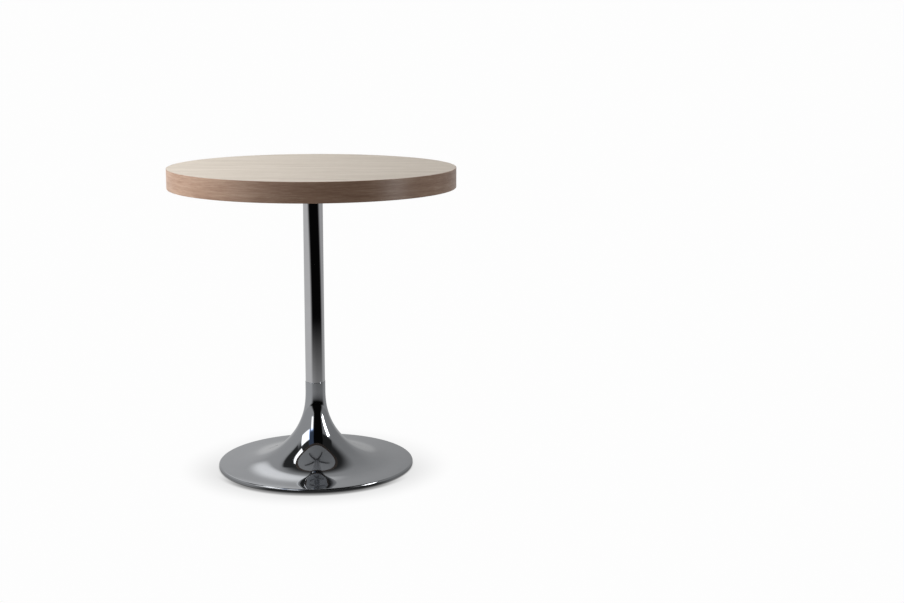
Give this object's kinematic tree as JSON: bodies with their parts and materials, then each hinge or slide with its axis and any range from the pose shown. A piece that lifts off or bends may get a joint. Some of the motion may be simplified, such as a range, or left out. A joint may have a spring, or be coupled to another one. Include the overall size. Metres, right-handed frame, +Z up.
{
  "type": "bistro table",
  "caption": "Round bistro table: thick laminated top on a steel spider, chromed column, trumpet base with ballast and levelling glides.",
  "frame": {"origin": "on the floor plane under the glide pads, on the column's axis", "axes": "+Z up along the column; +X and +Y level, each midway between two of the spider's arms, with the face veneer's grain along +X"},
  "size_m": [0.6999, 0.7, 0.75],
  "materials": {
    "oak_face": "pale oak veneer, satin lacquer",
    "oak_edge": "darker oak edge band, semi-gloss lacquer",
    "fibreboard": "raw fibreboard",
    "dark_lipping": "dark-stained wood lipping, satin",
    "backing": "light grey backing laminate, matt",
    "grey_steel": "dark grey powder coat",
    "chromed_tube": "bright chrome",
    "polished_casting": "cast and mirror polished",
    "cast_ballast": "as cast, painted dark grey",
    "bare_steel": "turned",
    "zinc_plate": "bright zinc plate",
    "glide_plastic": "black nylon"
  },
  "bodies": {
    "table": {"face_veneer": "oak_face", "upper_board": "fibreboard", "lower_board": "fibreboard", "backing_laminate": "backing", "underside_margin": "dark_lipping", "edge_band": "oak_edge", "threaded_inserts": "zinc_plate", "spider_hub": "grey_steel", "spider_arm_1": "grey_steel", "spider_arm_2": "grey_steel", "spider_arm_3": "grey_steel", "spider_arm_4": "grey_steel", "spider_screws": "zinc_plate", "column_tube": "chromed_tube", "neck_bush": "bare_steel", "trumpet_base": "polished_casting", "ballast": "cast_ballast", "ballast_screws": "zinc_plate", "tie_rod": "zinc_plate", "top_washer": "zinc_plate", "top_lock_washer": "zinc_plate", "top_nut": "zinc_plate", "bottom_washer": "zinc_plate", "bottom_lock_washer": "zinc_plate", "bottom_nut": "zinc_plate"},
    "pad_1": {"glide_pad_1": "glide_plastic"},
    "screw_1": {"glide_screw_1": "zinc_plate"},
    "pad_2": {"glide_pad_2": "glide_plastic"},
    "screw_2": {"glide_screw_2": "zinc_plate"},
    "pad_3": {"glide_pad_3": "glide_plastic"},
    "screw_3": {"glide_screw_3": "zinc_plate"},
    "pad_4": {"glide_pad_4": "glide_plastic"},
    "screw_4": {"glide_screw_4": "zinc_plate"}
  },
  "joints": [
    {"name": "glide_1_travel", "type": "slide", "parent": "table", "child": "pad_1", "axis": [0, 0, -1], "range_m": [0, 0.003]},
    {"name": "glide_1_turn", "type": "hinge", "parent": "pad_1", "child": "screw_1", "pos_m": [0.14566, 0.14566, 0.0032], "axis": [0, 0, -1], "range_deg": [0, 860]},
    {"name": "glide_2_travel", "type": "slide", "parent": "table", "child": "pad_2", "axis": [0, 0, -1], "range_m": [0, 0.003]},
    {"name": "glide_2_turn", "type": "hinge", "parent": "pad_2", "child": "screw_2", "pos_m": [-0.14566, 0.14566, 0.0032], "axis": [0, 0, -1], "range_deg": [0, 860]},
    {"name": "glide_3_travel", "type": "slide", "parent": "table", "child": "pad_3", "axis": [0, 0, -1], "range_m": [0, 0.003]},
    {"name": "glide_3_turn", "type": "hinge", "parent": "pad_3", "child": "screw_3", "pos_m": [-0.14566, -0.14566, 0.0032], "axis": [0, 0, -1], "range_deg": [0, 860]},
    {"name": "glide_4_travel", "type": "slide", "parent": "table", "child": "pad_4", "axis": [0, 0, -1], "range_m": [0, 0.003]},
    {"name": "glide_4_turn", "type": "hinge", "parent": "pad_4", "child": "screw_4", "pos_m": [0.14566, -0.14566, 0.0032], "axis": [0, 0, -1], "range_deg": [0, 860]}
  ],
  "couplings": [
    {"joint": "glide_1_travel", "follows": "glide_1_turn", "m_per_rad": 0.00019894},
    {"joint": "glide_2_travel", "follows": "glide_2_turn", "m_per_rad": 0.00019894},
    {"joint": "glide_3_travel", "follows": "glide_3_turn", "m_per_rad": 0.00019894},
    {"joint": "glide_4_travel", "follows": "glide_4_turn", "m_per_rad": 0.00019894}
  ]
}
